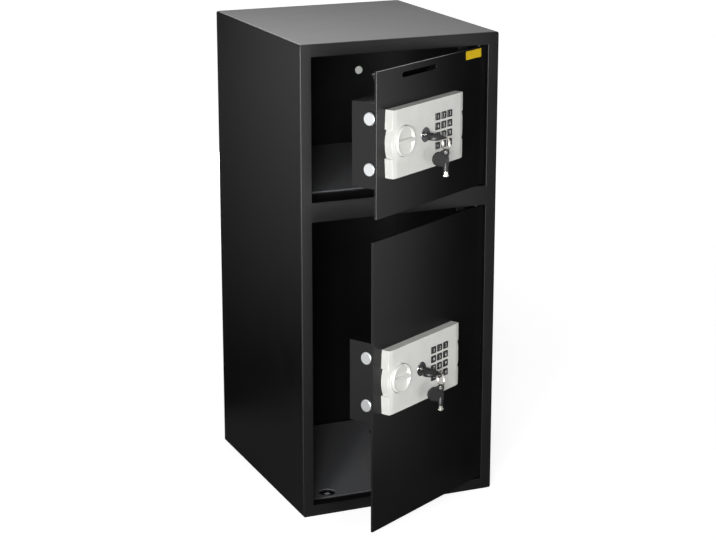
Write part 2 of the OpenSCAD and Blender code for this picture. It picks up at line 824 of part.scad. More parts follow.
// Split ring, drawn as its two turns lying together
module key_ring(i) {
    color("#c4c5c6") at_ring(i) rotate([0, 90, 0])
        for (side = [-1, 1]) translate([0, 0, side * wire_twin])
            rotate_extrude() translate([ring_r, 0]) circle(wire_r, $fn = 24);
}

// Second key, hanging from the ring
module spare_key(i) {
    color("#151516") at_ring(i) translate([0, 0, -ring_r - spare_drop - eye_z]) key_shape();
}

// Keypad board in the housing's chamber, and the battery holder with its four cells in the case
module electronics(i) {
    margin = 1;
    board_s = [chamber_s[0] + margin, chamber_s[1] - margin];
    board_z = chamber_z - margin;
    foot = 3;
    cells = 4;
    pitch = 2 * battery_r + 0.6;
    tray = [case_back - case_t - 2, case_back - case_t];
    cradle = 0.5;
    cell_d = tray[0] - battery_r + cradle;
    low = case_z - cells * pitch / 2;
    color("#3f5a3c") on_lock(i) {
        block(board_s, [-board_stand - board_t, -board_stand], [-board_z, board_z]);
        for (s = [board_s[0], board_s[1] - foot]) for (z = [-board_z, board_z - foot])
            block([s, s + foot], [-board_stand, 0], [z, z + foot]);
        for (k = [0 : COLUMNS * ROWS - 1])
            at_button(k, [-board_stand - board_t - dome_t, -board_stand - board_t], 6, 6);
    }
    color("#2a2a2b") on_lock(i) {
        block(batteries_s, tray, [low - 2, low + cells * pitch + 2]);
        for (s = [batteries_s[0], batteries_s[1] - 2])
            block([s, s + 2], [cell_d, tray[0]], [low - 2, low + cells * pitch + 2]);
        for (c = [0 : cells - 1])
            translate([along(batteries_s[0] + 2), deep(cell_d), low + (c + 0.5) * pitch])
                rotate([0, 90, 0]) cylinder(r = battery_r, h = batteries_s[1] - batteries_s[0] - 4, $fn = 32);
    }
}

// Solenoid coil on the door's back, bored for its plunger
module solenoid(i) {
    mid = (bar_depth[0] + bar_depth[1]) / 2;
    color("#9a6a2f") on_lock(i) difference() {
        block([plunger_s - coil_w / 2, plunger_s + coil_w / 2], coil_depth, [coil_top - coil_h, coil_top]);
        translate([along(plunger_s), deep(mid), coil_top - coil_h + coil_floor])
            cylinder(r = plunger_r + run, h = coil_h);
    }
}

// Plunger, drawn in at rest; it rises beside the bar's tooth to block the bolts
module plunger(i) {
    mid = (bar_depth[0] + bar_depth[1]) / 2;
    low = coil_top - coil_h + coil_floor + clear;
    color("#bfc0c1") on_lock(i) translate([along(plunger_s), deep(mid), low])
        cylinder(r = plunger_r, h = tooth_bottom - 0.6 - low);
}

cabinet_shell();
back_panel();
front_frame();
divider_shelf();
hinge_pins();
floor_mats();
hole_plugs();
slot_baffle();
for (i = DOORS) {
    name = DOOR_NAMES[i];
    door(i);
    lock_case(i);
    lock_housing(i);
    knob(i);
    spindle_cam(i);
    bolt_carriage(i);
    key_lock(i);
    key_plug(i);
    key(i);
    key_ring(i);
    spare_key(i);
    electronics(i);
    solenoid(i);
    plunger(i);
    for (k = [0 : COLUMNS * ROWS - 1])
        keypad_button(i, k);
}
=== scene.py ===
"""Two-door steel drop safe: finishes, lettering and small parts around its construction model."""

import json
import math

import bmesh
import bpy
from mathutils import Matrix, Vector


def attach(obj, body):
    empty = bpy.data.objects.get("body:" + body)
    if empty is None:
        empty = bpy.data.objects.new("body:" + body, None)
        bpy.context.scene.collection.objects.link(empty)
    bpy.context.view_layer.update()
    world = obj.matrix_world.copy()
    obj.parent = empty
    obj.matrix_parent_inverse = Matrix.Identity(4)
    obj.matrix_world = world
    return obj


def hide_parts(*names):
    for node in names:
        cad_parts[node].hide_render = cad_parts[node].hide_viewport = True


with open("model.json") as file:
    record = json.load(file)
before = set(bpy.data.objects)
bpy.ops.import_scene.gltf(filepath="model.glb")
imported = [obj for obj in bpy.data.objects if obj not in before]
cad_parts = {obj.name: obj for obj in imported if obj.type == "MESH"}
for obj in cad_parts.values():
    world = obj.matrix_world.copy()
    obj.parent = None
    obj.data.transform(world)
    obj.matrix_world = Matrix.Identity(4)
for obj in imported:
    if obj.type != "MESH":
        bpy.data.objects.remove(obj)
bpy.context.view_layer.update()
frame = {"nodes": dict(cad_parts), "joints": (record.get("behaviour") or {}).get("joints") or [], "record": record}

MM = 0.001
TINY = 1e-6
# Faces that meet at more than this make an edge to the eye
SHARP = math.radians(35)
DOORS = ("upper", "lower")
KEYS = ("1", "2", "3", "4", "5", "6", "7", "8", "9", "star", "0", "hash")
JOINTS = {joint["name"]: joint for joint in frame["joints"]}

# Camera, fitted to the cabinet's corners in the photograph: metres, radians and millimetres of lens
CAMERA_PLACE = (-1.2938, -3.0583, 1.3055)
CAMERA_YAW = 0.4028
CAMERA_DOWN = 0.2770
CAMERA_LENS = 98.97

# Lock front, in millimetres from the knob's centre: right, up and out of the door
KNOB_R = 24.0
KNOB_BACK = 7.8
KNOB_FACE = 21.0
KNOB_RIM = 2.5
GRIP_W = 6.0
HOLLOW = 6.0
LOCK_X = 58.0
BUTTON_X = 91.5
BUTTON_DX = 17.0
BUTTON_DY = 15.6
BUTTON_FACE = 17.5
DIGIT_SIZE = 8.5
STAR_DROP = 1.6
INK_T = 0.03

# Keys, in millimetres
KEY_TIP = 12.0
SHANK_R = 3.9
SHANK_BORE_R = 2.8
SHANK_L = 15.0
NECK_R = 4.4
NECK_L = 7.0
NIB = 0.8
NIB_W = 2.0
NIB_L = 2.5
BOW_L = 29.5
BOW_W = 23.0
BOW_T = 5.5
EYE_T = 2.4
EYE_R = 6.0
EYE_HOLE_R = 3.25
EYE_Z = SHANK_L + BOW_L - EYE_R
EYE_HANG = 2.0
RING_R = 12.0
WIRE_R = 0.72
WIRE_TWIN = 0.66

# Lock case and hinge behind the door, from the knob's centre, and the label on its face
DOOR_T = 4.0
CASE_BACK = 58.0
CASE_X = (-37.0, 163.0)
CASE_Y = (-75.0, 61.0)
COVER_X = 120.5
COVER_Y = -7.0
COVER_W = 76.0
COVER_H = 82.0
COVER_T = 1.2
SCREW_IN = 9.0
CASE_WELD = 28.0
HINGE_X = 244.0
KNUCKLE_Y = {"upper": (-119.0, 85.0), "lower": (-254.0, 205.0)}
KNUCKLE_SIDE = 5.4
KNUCKLE_WELD = 22.0
LABEL_AT = (218.5, 104.0, 0.0)
LABEL_W = 45.0
LABEL_H = 14.0
LABEL_T = 0.12

# Outside of the back panel, from the cabinet's middle, and the height of a spot weld's rim on it
BACK_Y = 200.0
SPOT_RIM = 0.3


def srgb(code):
    """Linear colour of an sRGB hex code."""
    channels = [int(code[k:k + 2], 16) / 255 for k in (1, 3, 5)]
    linear = [c / 12.92 if c <= 0.04045 else ((c + 0.055) / 1.055) ** 2.4 for c in channels]
    return (*linear, 1.0)


# Finishes


def add(tree, kind, inputs=None, **settings):
    """Adds a shader node. inputs gives sockets, by name or number, a value or another node's output."""
    made = tree.nodes.new("ShaderNode" + kind)
    for key, value in settings.items():
        setattr(made, key, value)
    for key, value in (inputs or {}).items():
        if isinstance(value, bpy.types.NodeSocket):
            tree.links.new(value, made.inputs[key])
        else:
            made.inputs[key].default_value = value
    return made


def finish(name, colour, roughness, metallic=0.0, **sockets):
    """A new material and its tree, shader and object coordinates."""
    material = bpy.data.materials.new(name)
    material.use_nodes = True
    tree = material.node_tree
    shader = tree.nodes["Principled BSDF"]
    shader.inputs["Base Color"].default_value = srgb(colour)
    shader.inputs["Roughness"].default_value = roughness
    shader.inputs["Metallic"].default_value = metallic
    for key, value in sockets.items():
        shader.inputs[key.replace("_", " ")].default_value = value
    place = add(tree, "TexCoord").outputs["Object"]
    return material, tree, shader, place


def per_mm(size):
    """Texture scale at which a pattern's blotches are about size millimetres across."""
    return 1 / (size * MM)


def vary(tree, shader, pattern, colours=None, roughness=None, depth_mm=None, span=(0.35, 0.65)):
    """Lets a pattern carry colour and roughness between two values each, and lift the surface.
    A Mix node takes its colours at sockets 6 and 7 and gives the mixed one at 2."""
    if colours:
        share = add(tree, "MapRange", {"Value": pattern, "From Min": span[0], "From Max": span[1]})
        mixed = add(tree, "Mix", {0: share.outputs["Result"], 6: srgb(colours[0]), 7: srgb(colours[1])},
                    data_type="RGBA")
        tree.links.new(mixed.outputs[2], shader.inputs["Base Color"])
    if roughness:
        spread = add(tree, "MapRange", {"Value": pattern, "From Min": 0.3, "From Max": 0.7,
                                        "To Min": roughness[0], "To Max": roughness[1]})
        tree.links.new(spread.outputs["Result"], shader.inputs["Roughness"])
    if depth_mm:
        bump = add(tree, "Bump", {"Height": pattern, "Distance": depth_mm * MM, "Strength": 1.0})
        tree.links.new(bump.outputs["Normal"], shader.inputs["Normal"])


def powder_coat():
    """Polyester powder coat on mild steel, sprayed and baked: satin black with a fine orange peel."""
    material, tree, shader, place = finish("satin_black_powder_coat", "#0b0b0c", 0.36,
                                           Specular_IOR_Level=0.25)
    cloud = add(tree, "TexNoise", {"Vector": place, "Scale": per_mm(60), "Detail": 3.0})
    peel = add(tree, "TexNoise", {"Vector": place, "Scale": per_mm(1.1), "Detail": 1.0})
    vary(tree, shader, cloud.outputs["Fac"], ("#0a0a0b", "#0c0c0d"), (0.355, 0.375))
    vary(tree, shader, peel.outputs["Fac"], depth_mm=0.02)
    return material


def abs_grey():
    """ABS, injection moulded in a spark-eroded tool: warm light grey with a very fine matt grain."""
    material, tree, shader, place = finish("moulded_abs_light_grey", "#d2d2cd", 0.48)
    cloud = add(tree, "TexNoise", {"Vector": place, "Scale": per_mm(25)})
    spark = add(tree, "TexNoise", {"Vector": place, "Scale": per_mm(0.5)})
    vary(tree, shader, cloud.outputs["Fac"], ("#d0d0cb", "#d5d5d1"))
    vary(tree, shader, spark.outputs["Fac"], depth_mm=0.012)
    return material


def abs_black():
    """ABS key caps, moulded: black with a soft sheen."""
    material, tree, shader, place = finish("moulded_abs_black", "#131314", 0.4)
    cloud = add(tree, "TexNoise", {"Vector": place, "Scale": per_mm(4)})
    spark = add(tree, "TexNoise", {"Vector": place, "Scale": per_mm(0.35)})
    vary(tree, shader, cloud.outputs["Fac"], roughness=(0.36, 0.46))
    vary(tree, shader, spark.outputs["Fac"], depth_mm=0.008)
    return material


def key_plastic():
    """Glass-filled nylon, moulded over the shank: black, with a slightly oily sheen."""
    material, tree, shader, place = finish("moulded_nylon_black", "#0c0c0d", 0.45, Specular_IOR_Level=0.3)
    cloud = add(tree, "TexNoise", {"Vector": place, "Scale": per_mm(3)})
    fibre = add(tree, "TexNoise", {"Vector": place, "Scale": per_mm(0.4), "Detail": 3.0})
    vary(tree, shader, cloud.outputs["Fac"], roughness=(0.42, 0.52))
    vary(tree, shader, fibre.outputs["Fac"], depth_mm=0.01)
    return material


def zinc_steel():
    """Turned steel, bright zinc plated: pale, with a soft streaky shine."""
    material, tree, shader, place = finish("zinc_plated_steel", "#bfc1c2", 0.3, 1.0)
    streak = add(tree, "TexNoise", {"Vector": place, "Scale": per_mm(0.6), "Detail": 4.0, "Roughness": 0.6})
    vary(tree, shader, streak.outputs["Fac"], roughness=(0.24, 0.4), depth_mm=0.006)
    return material


def chrome():
    """Zinc casting, polished and chrome plated: a dark mirror with faint waviness."""
    material, tree, shader, place = finish("chrome_plated_zinc", "#6e6f72", 0.12, 1.0)
    cloud = add(tree, "TexNoise", {"Vector": place, "Scale": per_mm(2)})
    wave = add(tree, "TexNoise", {"Vector": place, "Scale": per_mm(3), "Detail": 1.0})
    vary(tree, shader, cloud.outputs["Fac"], roughness=(0.09, 0.18))
    vary(tree, shader, wave.outputs["Fac"], depth_mm=0.01)
    return material


def nickel():
    """Spring wire and key shanks, nickel plated: warm bright metal, lightly rubbed."""
    material, tree, shader, place = finish("nickel_plated_steel", "#d6d3cb", 0.2, 1.0)
    rub = add(tree, "TexNoise", {"Vector": place, "Scale": per_mm(0.8), "Detail": 3.0})
    vary(tree, shader, rub.outputs["Fac"], roughness=(0.15, 0.3), depth_mm=0.004)
    return material


def polythene():
    """Low-density polythene plugs, moulded: milky white and waxy."""
    material, tree, shader, place = finish("moulded_polythene_white", "#efefeb", 0.38,
                                           Subsurface_Weight=0.1, Subsurface_Scale=0.002)
    skin = add(tree, "TexNoise", {"Vector": place, "Scale": per_mm(1)})
    vary(tree, shader, skin.outputs["Fac"], depth_mm=0.01)
    return material


def felt():
    """Needled polyester carpet over rubber: charcoal, fibrous and dull."""
    material, tree, shader, place = finish("needled_carpet_charcoal", "#525356", 0.95)
    fibre = add(tree, "TexNoise", {"Vector": place, "Scale": per_mm(1.2), "Detail": 6.0, "Roughness": 0.7})
    vary(tree, shader, fibre.outputs["Fac"], ("#3e3f41", "#656669"), depth_mm=0.4, span=(0.3, 0.7))
    return material


def yellow_vinyl():
    """Self-adhesive vinyl, left blank: strong yellow and smooth."""
    material, tree, shader, place = finish("blank_vinyl_yellow", "#d9b516", 0.36)
    cloud = add(tree, "TexNoise", {"Vector": place, "Scale": per_mm(10)})
    vary(tree, shader, cloud.outputs["Fac"], ("#d6b214", "#dcb91a"), depth_mm=0.02)
    return material


def digit_paint():
    """Pad-printed ink on the caps: white and slightly uneven."""
    material, tree, shader, place = finish("printed_ink_white", "#e9e9e5", 0.55)
    cloud = add(tree, "TexNoise", {"Vector": place, "Scale": per_mm(0.8)})
    vary(tree, shader, cloud.outputs["Fac"], ("#e2e2de", "#efefec"))
    return material


def laminate():
    """Glass-epoxy board under green solder mask, with its cells and holder: semi-gloss."""
    material, tree, shader, place = finish("solder_mask_green", "#2f4a30", 0.4)
    weave = add(tree, "TexNoise", {"Vector": place, "Scale": per_mm(1)})
    vary(tree, shader, weave.outputs["Fac"], ("#2b452c", "#345236"), depth_mm=0.01)
    return material


def wound_copper():
    """Enamelled copper wire wound on its bobbin: amber, with a ridge at each turn."""
    material, tree, shader, place = finish("enamelled_copper_wire", "#8f5522", 0.35, 0.6)
    turns = add(tree, "TexWave", {"Vector": place, "Scale": per_mm(0.8) / (2 * math.pi)},
                bands_direction="Z")
    vary(tree, shader, turns.outputs["Fac"], ("#6f3f17", "#a8672b"), depth_mm=0.15, span=(0.2, 0.8))
    return material


FINISHES = {
    "powder_coat": powder_coat(),
    "zinc_steel": zinc_steel(),
    "chrome": chrome(),
    "nickel": nickel(),
    "grey_plastic": abs_grey(),
    "black_plastic": abs_black(),
    "key_plastic": key_plastic(),
    "white_plastic": polythene(),
    "mat": felt(),
    "circuit": laminate(),
    "coil": wound_copper(),
}
LABEL_VINYL = yellow_vinyl()
DIGIT_INK = digit_paint()

# How much an edge is rounded: the folded sheet and the door plates by name, the rest by material slot
FOLD_ROUNDING = {"front_frame": 0.9, "cabinet_shell": 0.9, "upper_door": 1.2, "lower_door": 1.2}
EDGE_ROUNDING = {"powder_coat": 0.7, "grey_plastic": 0.6, "black_plastic": 0.5, "white_plastic": 0.3,
                 "mat": 0.8, "chrome": 0.3, "zinc_steel": 0.25}
# Sheet so thin that its folds would stay sharp if overlap limited their rounding
THIN_SHEET = ("front_frame", "cabinet_shell")


def soften(node, width_mm):
    """Merges the node's facets and rounds its edges by modifiers, then evens its faces' shading."""
    weld = node.modifiers.new("weld", "WELD")
    weld.merge_threshold = 0.02 * MM
    flat = node.modifiers.new("flat", "DECIMATE")
    flat.decimate_type = "DISSOLVE"
    flat.angle_limit = math.radians(0.5)
    round_off = node.modifiers.new("round", "BEVEL")
    round_off.width = width_mm * MM
    round_off.segments = 2
    round_off.limit_method = "ANGLE"
    round_off.angle_limit = SHARP
    round_off.harden_normals = True
    round_off.use_clamp_overlap = node.name not in THIN_SHEET
    level = node.modifiers.new("level", "WEIGHTED_NORMAL")
    level.mode = "FACE_AREA"
    level.weight = 100
    level.keep_sharp = True


slot_of = {row["node"]: row["material_slot"] for row in frame["record"]["subparts"]}
for name, node in frame["nodes"].items():
    slot = slot_of[name]
    node.data.materials.clear()
    node.data.materials.append(FINISHES[slot])
    if slot in EDGE_ROUNDING:
        soften(node, FOLD_ROUNDING.get(name, EDGE_ROUNDING[slot]))


# Places


def axes_frame(across, up, out, origin):
    """Row matrix of millimetres along three unit axes from an origin in metres."""
    turn = Matrix((across, up, out)).transposed().to_4x4()
    return Matrix.Translation(origin) @ turn @ Matrix.Scale(MM, 4)


def shifted(place, x=0.0, y=0.0, z=0.0):
    return place @ Matrix.Translation((x, y, z))


def turned(place, degrees, axis):
    return place @ Matrix.Rotation(math.radians(degrees), 4, axis)


def face_frame(door):
    """Right, up and out from the knob's centre on a door's face."""
    joint = JOINTS[door + "_knob_turn"]
    out = Vector(joint["axis"]).normalized()
    up = Vector((0, 0, 1))
    return axes_frame(up.cross(out), up, out, joint["pos_m"])


def ring_frame(door):
    """The ring's middle: x along its axis, and the spare key's hold straight below."""
    joint = JOINTS[door + "_spare_swing"]
    across = Vector(JOINTS[door + "_ring_swing"]["axis"]).normalized()
    along = Vector(joint["axis"]).normalized()
    return shifted(axes_frame(across, along, across.cross(along), joint["pos_m"]), z=RING_R)


# Meshes


def piece(name, mesh_data, place, body, slot, material=None):
    """Makes a riding object of a bmesh modelled in the units of place."""
    mesh = bpy.data.meshes.new(name)
    mesh_data.transform(place)
    bmesh.ops.recalc_face_normals(mesh_data, faces=mesh_data.faces)
    mesh_data.to_mesh(mesh)
    mesh_data.free()
    made = bpy.data.objects.new(name, mesh)
    bpy.context.scene.collection.objects.link(made)
    mesh.materials.append(material or FINISHES[slot])
    mesh.shade_smooth()
    mesh.set_sharp_from_angle(angle=SHARP)
    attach(made, body)
    return made


def ease(v):
    """Rises smoothly from 0 to 1 as v does, and stays there."""
    v = min(max(v, 0.0), 1.0)
    return v * v * (3 - 2 * v)


def arc(cx, cy, r, start, end, steps):
    """Points on an arc, with angles in degrees."""
    angles = [math.radians(start + (end - start) * k / steps) for k in range(steps + 1)]
    return [(cx + r * math.cos(a), cy + r * math.sin(a)) for a in angles]


def rounded_rectangle(w, h, r):
    """Outline about the origin, with corners of radius r."""
    outline = []
    for cx, cy, start in ((w / 2 - r, h / 2 - r, 0), (r - w / 2, h / 2 - r, 90),
                          (r - w / 2, r - h / 2, 180), (w / 2 - r, r - h / 2, 270)):
        outline += arc(cx, cy, r, start, start + 90, 6)
    return outline


def hull_outline(circles):
    """Outline round a list of (x, y, r) circles, as a taut band would lie."""
    points = [p for x, y, r in circles for p in arc(x, y, r, 0, 360, 40)[:-1]]
    points.sort()

    def side(run):
        kept = []
        for p in run:
            while len(kept) > 1:
                a, b = kept[-2], kept[-1]
                if (b[0] - a[0]) * (p[1] - a[1]) - (b[1] - a[1]) * (p[0] - a[0]) > 1e-9:
                    break
                kept.pop()
            kept.append(p)
        return kept[:-1]
    return side(points) + side(points[::-1])


def round_edges(bm, edges, width):
    bmesh.ops.bevel(bm, geom=edges, offset=width, segments=2, affect="EDGES", profile=0.5)


def folds(bm, angle):
    """Edges that lie level and where two faces meet at more than an angle, in radians."""
    flat = [e for e in bm.edges if abs(e.verts[0].co.z - e.verts[1].co.z) < TINY]
    return [e for e in flat if len(e.link_faces) == 2 and e.calc_face_angle(0) > angle]


def join(bm, *parts):
    """Adds other bmeshes to the first."""
    for part in parts:
        spare = bpy.data.meshes.new("part")
        part.to_mesh(spare)
        part.free()
        bm.from_mesh(spare)
        bpy.data.meshes.remove(spare)
    return bm


def lathe(profile, steps):
    """Turns (radius, height) points about z. Ends at radius 0 are closed."""
    bm = bmesh.new()
    rings = []
    for r, z in profile:
        if r == 0:
            rings.append([bm.verts.new((0, 0, z))])
            continue
        turns = [2 * math.pi * k / steps for k in range(steps)]
        rings.append([bm.verts.new((r * math.cos(a), r * math.sin(a), z)) for a in turns])
    for low, high in zip(rings, rings[1:]):
        for k in range(steps):
            j = (k + 1) % steps
            corners = [low[k % len(low)], low[j % len(low)], high[j % len(high)], high[k % len(high)]]
            bm.faces.new(list(dict.fromkeys(corners)))
    return bm


def slab(outline, low, high, rounding, holes=()):
    """Flat plate of an outline from z low to high, with rounded rims."""
    bm = bmesh.new()
    edges = []
    for loop in (outline, *holes):
        verts = [bm.verts.new((x, y, low)) for x, y in loop]
        edges += [bm.edges.new((verts[k], verts[(k + 1) % len(verts)])) for k in range(len(verts))]
    bmesh.ops.triangle_fill(bm, use_beauty=True, edges=edges)
    bmesh.ops.dissolve_limit(bm, angle_limit=0.01, verts=bm.verts, edges=bm.edges)
    grown = bmesh.ops.extrude_face_region(bm, geom=bm.faces[:])
    lifted = [v for v in grown["geom"] if isinstance(v, bmesh.types.BMVert)]
    bmesh.ops.translate(bm, verts=lifted, vec=(0, 0, high - low))
    if rounding:
        round_edges(bm, folds(bm, 0.5), rounding)
    return bm


def dial(radius, back, height, rings, turns):
    """Round body whose front stands at height(x, y) and whose back is flat."""
    bm = bmesh.new()
    loops = []
    for ring in range(1, rings + 1):
        r = radius * ring / rings
        points = [(r * math.cos(2 * math.pi * k / turns), r * math.sin(2 * math.pi * k / turns))
                  for k in range(turns)]
        loops.append([bm.verts.new((x, y, height(x, y))) for x, y in points])
    loops.append([bm.verts.new((v.co.x, v.co.y, back)) for v in loops[-1]])
    centre = bm.verts.new((0, 0, height(0, 0)))
    base = bm.verts.new((0, 0, back))
    for inner, outer in zip(loops, loops[1:]):
        for k in range(turns):
            j = (k + 1) % turns
            bm.faces.new((inner[k], outer[k], outer[j], inner[j]))
    for k in range(turns):
        j = (k + 1) % turns
        bm.faces.new((centre, loops[0][k], loops[0][j]))
        bm.faces.new((base, loops[-1][j], loops[-1][k]))
    return bm


def knob():
    """Moulded knob with a grip bar between two scooped hollows."""
    edge_round = 0.9
    fillet = 1.2
    scoop_r = KNOB_R - KNOB_RIM
    slope_l = scoop_r - GRIP_W / 2 + 4

    def face(x, y):
        r = math.hypot(x, y)
        inside = ease((scoop_r - r) / fillet + 0.5)
        beside = abs(y) - GRIP_W / 2
        wall = ease(beside / fillet + 0.3)
        slope = max(0.0, 1 - beside / slope_l)
        drop = HOLLOW * wall * inside * slope ** 0.9
        rim = max(0.0, r - (KNOB_R - edge_round))
        drop += edge_round - math.sqrt(max(0.0, edge_round ** 2 - rim ** 2))
        return KNOB_FACE - drop
    return dial(KNOB_R, KNOB_BACK, face, 60, 120)


def screw(radius, head):
    """Pan-head screw with a cross recess, standing on z = 0 and sunk a little below it."""
    wing = 0.17 * radius
    recess_r = 0.58 * radius
    recess = 0.5 * head
    sunk = 0.2

    def face(x, y):
        r = math.hypot(x, y)
        dome = head * math.sqrt(max(0.0, 1 - 0.75 * (r / radius) ** 4))
        cross = min(abs(x), abs(y)) < wing and r < recess_r
        return dome - (recess if cross else 0.0)
    return dial(radius, -sunk, face, 14, 48)


def bead(length):
    """Run of weld along z, with a ripple at each step of the torch."""
    step = 1.6
    valley_r = 1.25
    ripple = 0.2
    count = 2 * int(length / step)
    run = [(valley_r + (ripple if k % 2 else 0.0), k * length / count) for k in range(1, count)]
    return lathe([(0, 0)] + run + [(0, length)], 12)


def spot_weld():
    """Shallow dimple that a welding tip leaves, with a raised rim, standing on z = 0."""
    return lathe([(0, 0.08), (1.6, 0.1), (2.2, SPOT_RIM), (2.9, 0.26), (3.3, 0.0), (0, -0.2)], 24)


def shank():
    """Tubular shank: an open tube with two nibs at its tip."""
    chamfer = 0.4
    rooted = 0.5
    bore_l = SHANK_L - 3
    root = SHANK_L + 1
    bm = lathe([(SHANK_BORE_R, bore_l), (SHANK_BORE_R, chamfer), (SHANK_BORE_R + chamfer, 0),
                (SHANK_R - chamfer, 0), (SHANK_R, chamfer), (SHANK_R, root), (0, root)], 48)
    bmesh.ops.contextual_create(bm, geom=[v for v in bm.verts if abs(v.co.z - bore_l) < TINY])
    for side in (-1, 1):
        nib = bmesh.ops.create_cube(bm, size=1.0)["verts"]
        bmesh.ops.scale(bm, verts=nib, vec=(NIB + rooted, NIB_W, NIB_L))
        bmesh.ops.translate(bm, verts=nib, vec=(side * (SHANK_R + (NIB - rooted) / 2), 0, NIB_L / 2))
        round_edges(bm, list({e for v in nib for e in v.link_edges}), 0.25)
    return bm


def bow():
    """Moulded bow: a thick lopsided pad whose faces step down inside a rim, a thinner eye, and a
    neck round the shank. The pad is modelled flat and then turned up into x and z."""
    side_r = 4.5
    left_r = BOW_W / 2
    left_z = SHANK_L + left_r + 2.5
    pad_top = EYE_Z - EYE_HOLE_R - 2 - side_r
    pad = [(-left_r, left_z, left_r), (0, SHANK_L + side_r, side_r), (0, pad_top, side_r)]
    eye = [(-left_r, left_z, left_r - 1), (0, pad_top, side_r - 1), (0, EYE_Z, EYE_R)]
    hole = arc(0, EYE_Z, EYE_HOLE_R, 0, 360, 32)[:-1]
    # Each step of a face: how far in, then how far down
    steps = ((1.3, 0.0), (0.3, 0.45), (1.5, 0.0), (0.3, 0.3))
    bm = slab(hull_outline(pad), -BOW_T / 2, BOW_T / 2, 0)
    for side in (-1, 1):
        for inset, drop in steps:
            facing = [f for f in bm.faces if f.normal.z * side > 0.99]
            flat = max(facing, key=lambda f: f.calc_area())
            bmesh.ops.inset_region(bm, faces=[flat], thickness=inset, depth=0, use_even_offset=True)
            if drop:
                bmesh.ops.translate(bm, verts=flat.verts, vec=(0, 0, -side * drop))
    rims = [e for e in folds(bm, 1.4) if abs(abs(e.verts[0].co.z) - BOW_T / 2) < TINY]
    round_edges(bm, rims, 0.6)
    join(bm, slab(hull_outline(eye), -EYE_T / 2, EYE_T / 2, 0.5, [hole]))
    bmesh.ops.transform(bm, matrix=Matrix.Rotation(math.pi / 2, 4, "X"), verts=bm.verts)
    low = SHANK_L - NECK_L
    inside_pad = (BOW_T / 2 - 0.3, SHANK_L + 8)
    neck = [(0, low + 1), (SHANK_R - 0.2, low), (NECK_R - 0.4, low), (NECK_R, low + 0.4),
            (NECK_R, SHANK_L + 2), inside_pad, (0, inside_pad[1])]
    return join(bm, lathe(neck, 40))


def wire_ring():
    """Split ring: two turns of wire side by side, the second after a short crossing."""
    turns = 2
    steps = 64
    sides = 12
    crossing_start = 0.42
    crossing = 0.16
    bm = bmesh.new()
    loops = []
    for k in range(turns * steps + 1):
        a = 2 * math.pi * k / steps - math.pi / 2
        second = ease((k / (turns * steps) - crossing_start) / crossing)
        x = WIRE_TWIN * (2 * second - 1)
        centre = Vector((x, RING_R * math.cos(a), RING_R * math.sin(a)))
        outward = Vector((0, math.cos(a), math.sin(a)))
        loop = []
        for j in range(sides):
            b = 2 * math.pi * j / sides
            rim = outward * math.cos(b) + Vector((math.sin(b), 0, 0))
            loop.append(bm.verts.new(centre + WIRE_R * rim))
        loops.append(loop)
    for one, two in zip(loops, loops[1:]):
        for j in range(sides):
            i = (j + 1) % sides
            bm.faces.new((one[j], one[i], two[i], two[j]))
    bm.faces.new(loops[0])
    bm.faces.new(loops[-1][::-1])
    return bm


def digit(name, text, place, body):
    """A printed character on a cap."""
    curve = bpy.data.curves.new(name, "FONT")
    curve.body = text
    curve.size = DIGIT_SIZE
    curve.align_x = "CENTER"
    curve.align_y = "CENTER"
    curve.extrude = INK_T
    curve.materials.append(DIGIT_INK)
    made = bpy.data.objects.new(name, curve)
    bpy.context.scene.collection.objects.link(made)
    made.matrix_world = place
    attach(made, body)


# Pieces on each door


def add_knob(door, face):
    made = piece(door + "_knob_moulding", knob(), face, door + "_knob", "grey_plastic")
    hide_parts(door + "_knob")


def add_keys(door, face):
    """Key lying flat in its lock, the ring in its eye, and the spare key that hangs from the ring."""
    ring = ring_frame(door)
    in_lock = shifted(face, LOCK_X, 0, KEY_TIP)
    hanging = shifted(ring, z=-RING_R - EYE_HANG - EYE_Z)
    for owner, place in ((door + "_key", in_lock), (door + "_spare_key", hanging)):
        moulded = piece(owner + "_bow", bow(), place, owner, "key_plastic")
        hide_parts(owner)
        piece(owner + "_shank", shank(), place, owner, "nickel")
    loop = piece(door + "_split_ring", wire_ring(), ring, door + "_key_ring", "nickel")
    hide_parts(door + "_key_ring")


def add_digits(door, face):
    for k, key in enumerate(KEYS):
        text = {"star": "*", "hash": "#"}.get(key, key)
        x = BUTTON_X + (k % 3) * BUTTON_DX
        y = (1.5 - k // 3) * BUTTON_DY - (STAR_DROP if key == "star" else 0)
        digit("%s_digit_%s" % (door, key), text, shifted(face, x, y, BUTTON_FACE + INK_T),
              "%s_button_%s" % (door, key))


def add_case_trim(door, face):
    """Cover of the cells on the case's back, with its grip, and the screws of cover and case."""
    body = door + "_door"
    rear = turned(shifted(face, z=-CASE_BACK), 180, "Y")
    rim = 0.4
    grip_w, grip_h, grip_proud, grip_down, sunk = COVER_W - 22, 5, 0.7, 9, 0.2
    lid = slab(rounded_rectangle(COVER_W, COVER_H, 4), 0, COVER_T, rim)
    grip = slab(rounded_rectangle(grip_w, grip_h, 2.4), COVER_T - sunk, COVER_T + grip_proud, rim)
    bmesh.ops.translate(grip, verts=grip.verts, vec=(0, COVER_H / 2 - grip_down, 0))
    piece(door + "_cell_cover", join(lid, grip), shifted(rear, -COVER_X, COVER_Y), body, "black_plastic")
    (low_x, high_x), (low_y, high_y) = CASE_X, CASE_Y
    heads = [shifted(rear, -x, y) for x in (low_x + SCREW_IN, high_x - SCREW_IN)
             for y in (low_y + SCREW_IN, high_y - SCREW_IN)]
    heads += [shifted(rear, side * (COVER_W / 2 - 5) - COVER_X, COVER_Y, COVER_T) for side in (-1, 1)]
    for k, place in enumerate(heads):
        piece("%s_case_screw_%d" % (door, k + 1), screw(3.1, 1.9), place, body, "zinc_steel")


